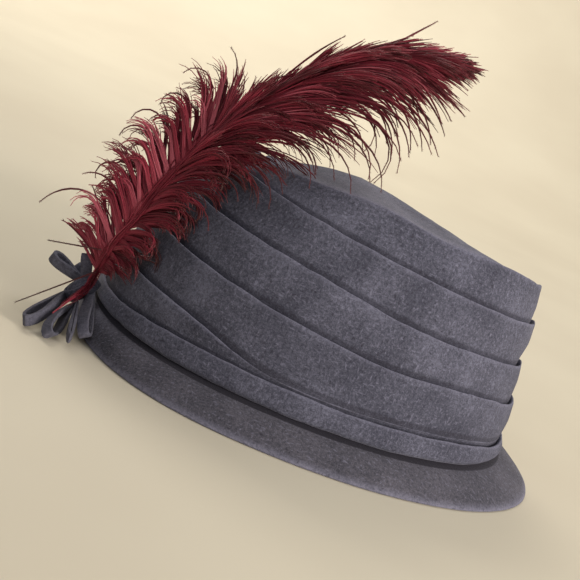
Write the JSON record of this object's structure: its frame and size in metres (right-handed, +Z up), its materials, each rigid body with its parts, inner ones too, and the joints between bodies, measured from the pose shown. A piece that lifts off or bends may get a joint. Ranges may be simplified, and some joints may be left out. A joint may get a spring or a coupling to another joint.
{
  "type": "tucked felt hat with plume",
  "caption": "Small felt hat with a crown of stacked upward folds, a narrow turned-down brim, a looped felt bow and a long ostrich plume that curves over the crown from the back.",
  "frame": {"origin": "on the table, under the middle of the whole hat with its bow and plume", "axes": "+X to the front of the brim, -Y to the side that carries the bow and plume (the wearer's right with the deep brim in front), +Z up; the hat rests on the edge of its brim"},
  "size_m": [0.2418, 0.2058, 0.1704],
  "materials": {
    "felt": "soft brushed wool felt, matt",
    "bow_felt": "cut felt strip, matt",
    "plume": "dyed feather, soft sheen"
  },
  "bodies": {
    "root": {"brim": "felt", "crown": "felt", "bow_knot": "bow_felt", "bow_loop_upper_left": "bow_felt", "bow_loop_left": "bow_felt", "bow_loop_lower_left": "bow_felt", "bow_loop_lower": "bow_felt", "bow_loop_lower_right": "bow_felt", "bow_loop_upper_right": "bow_felt", "bow_loop_top": "bow_felt", "plume": "plume"}
  },
  "joints": []
}
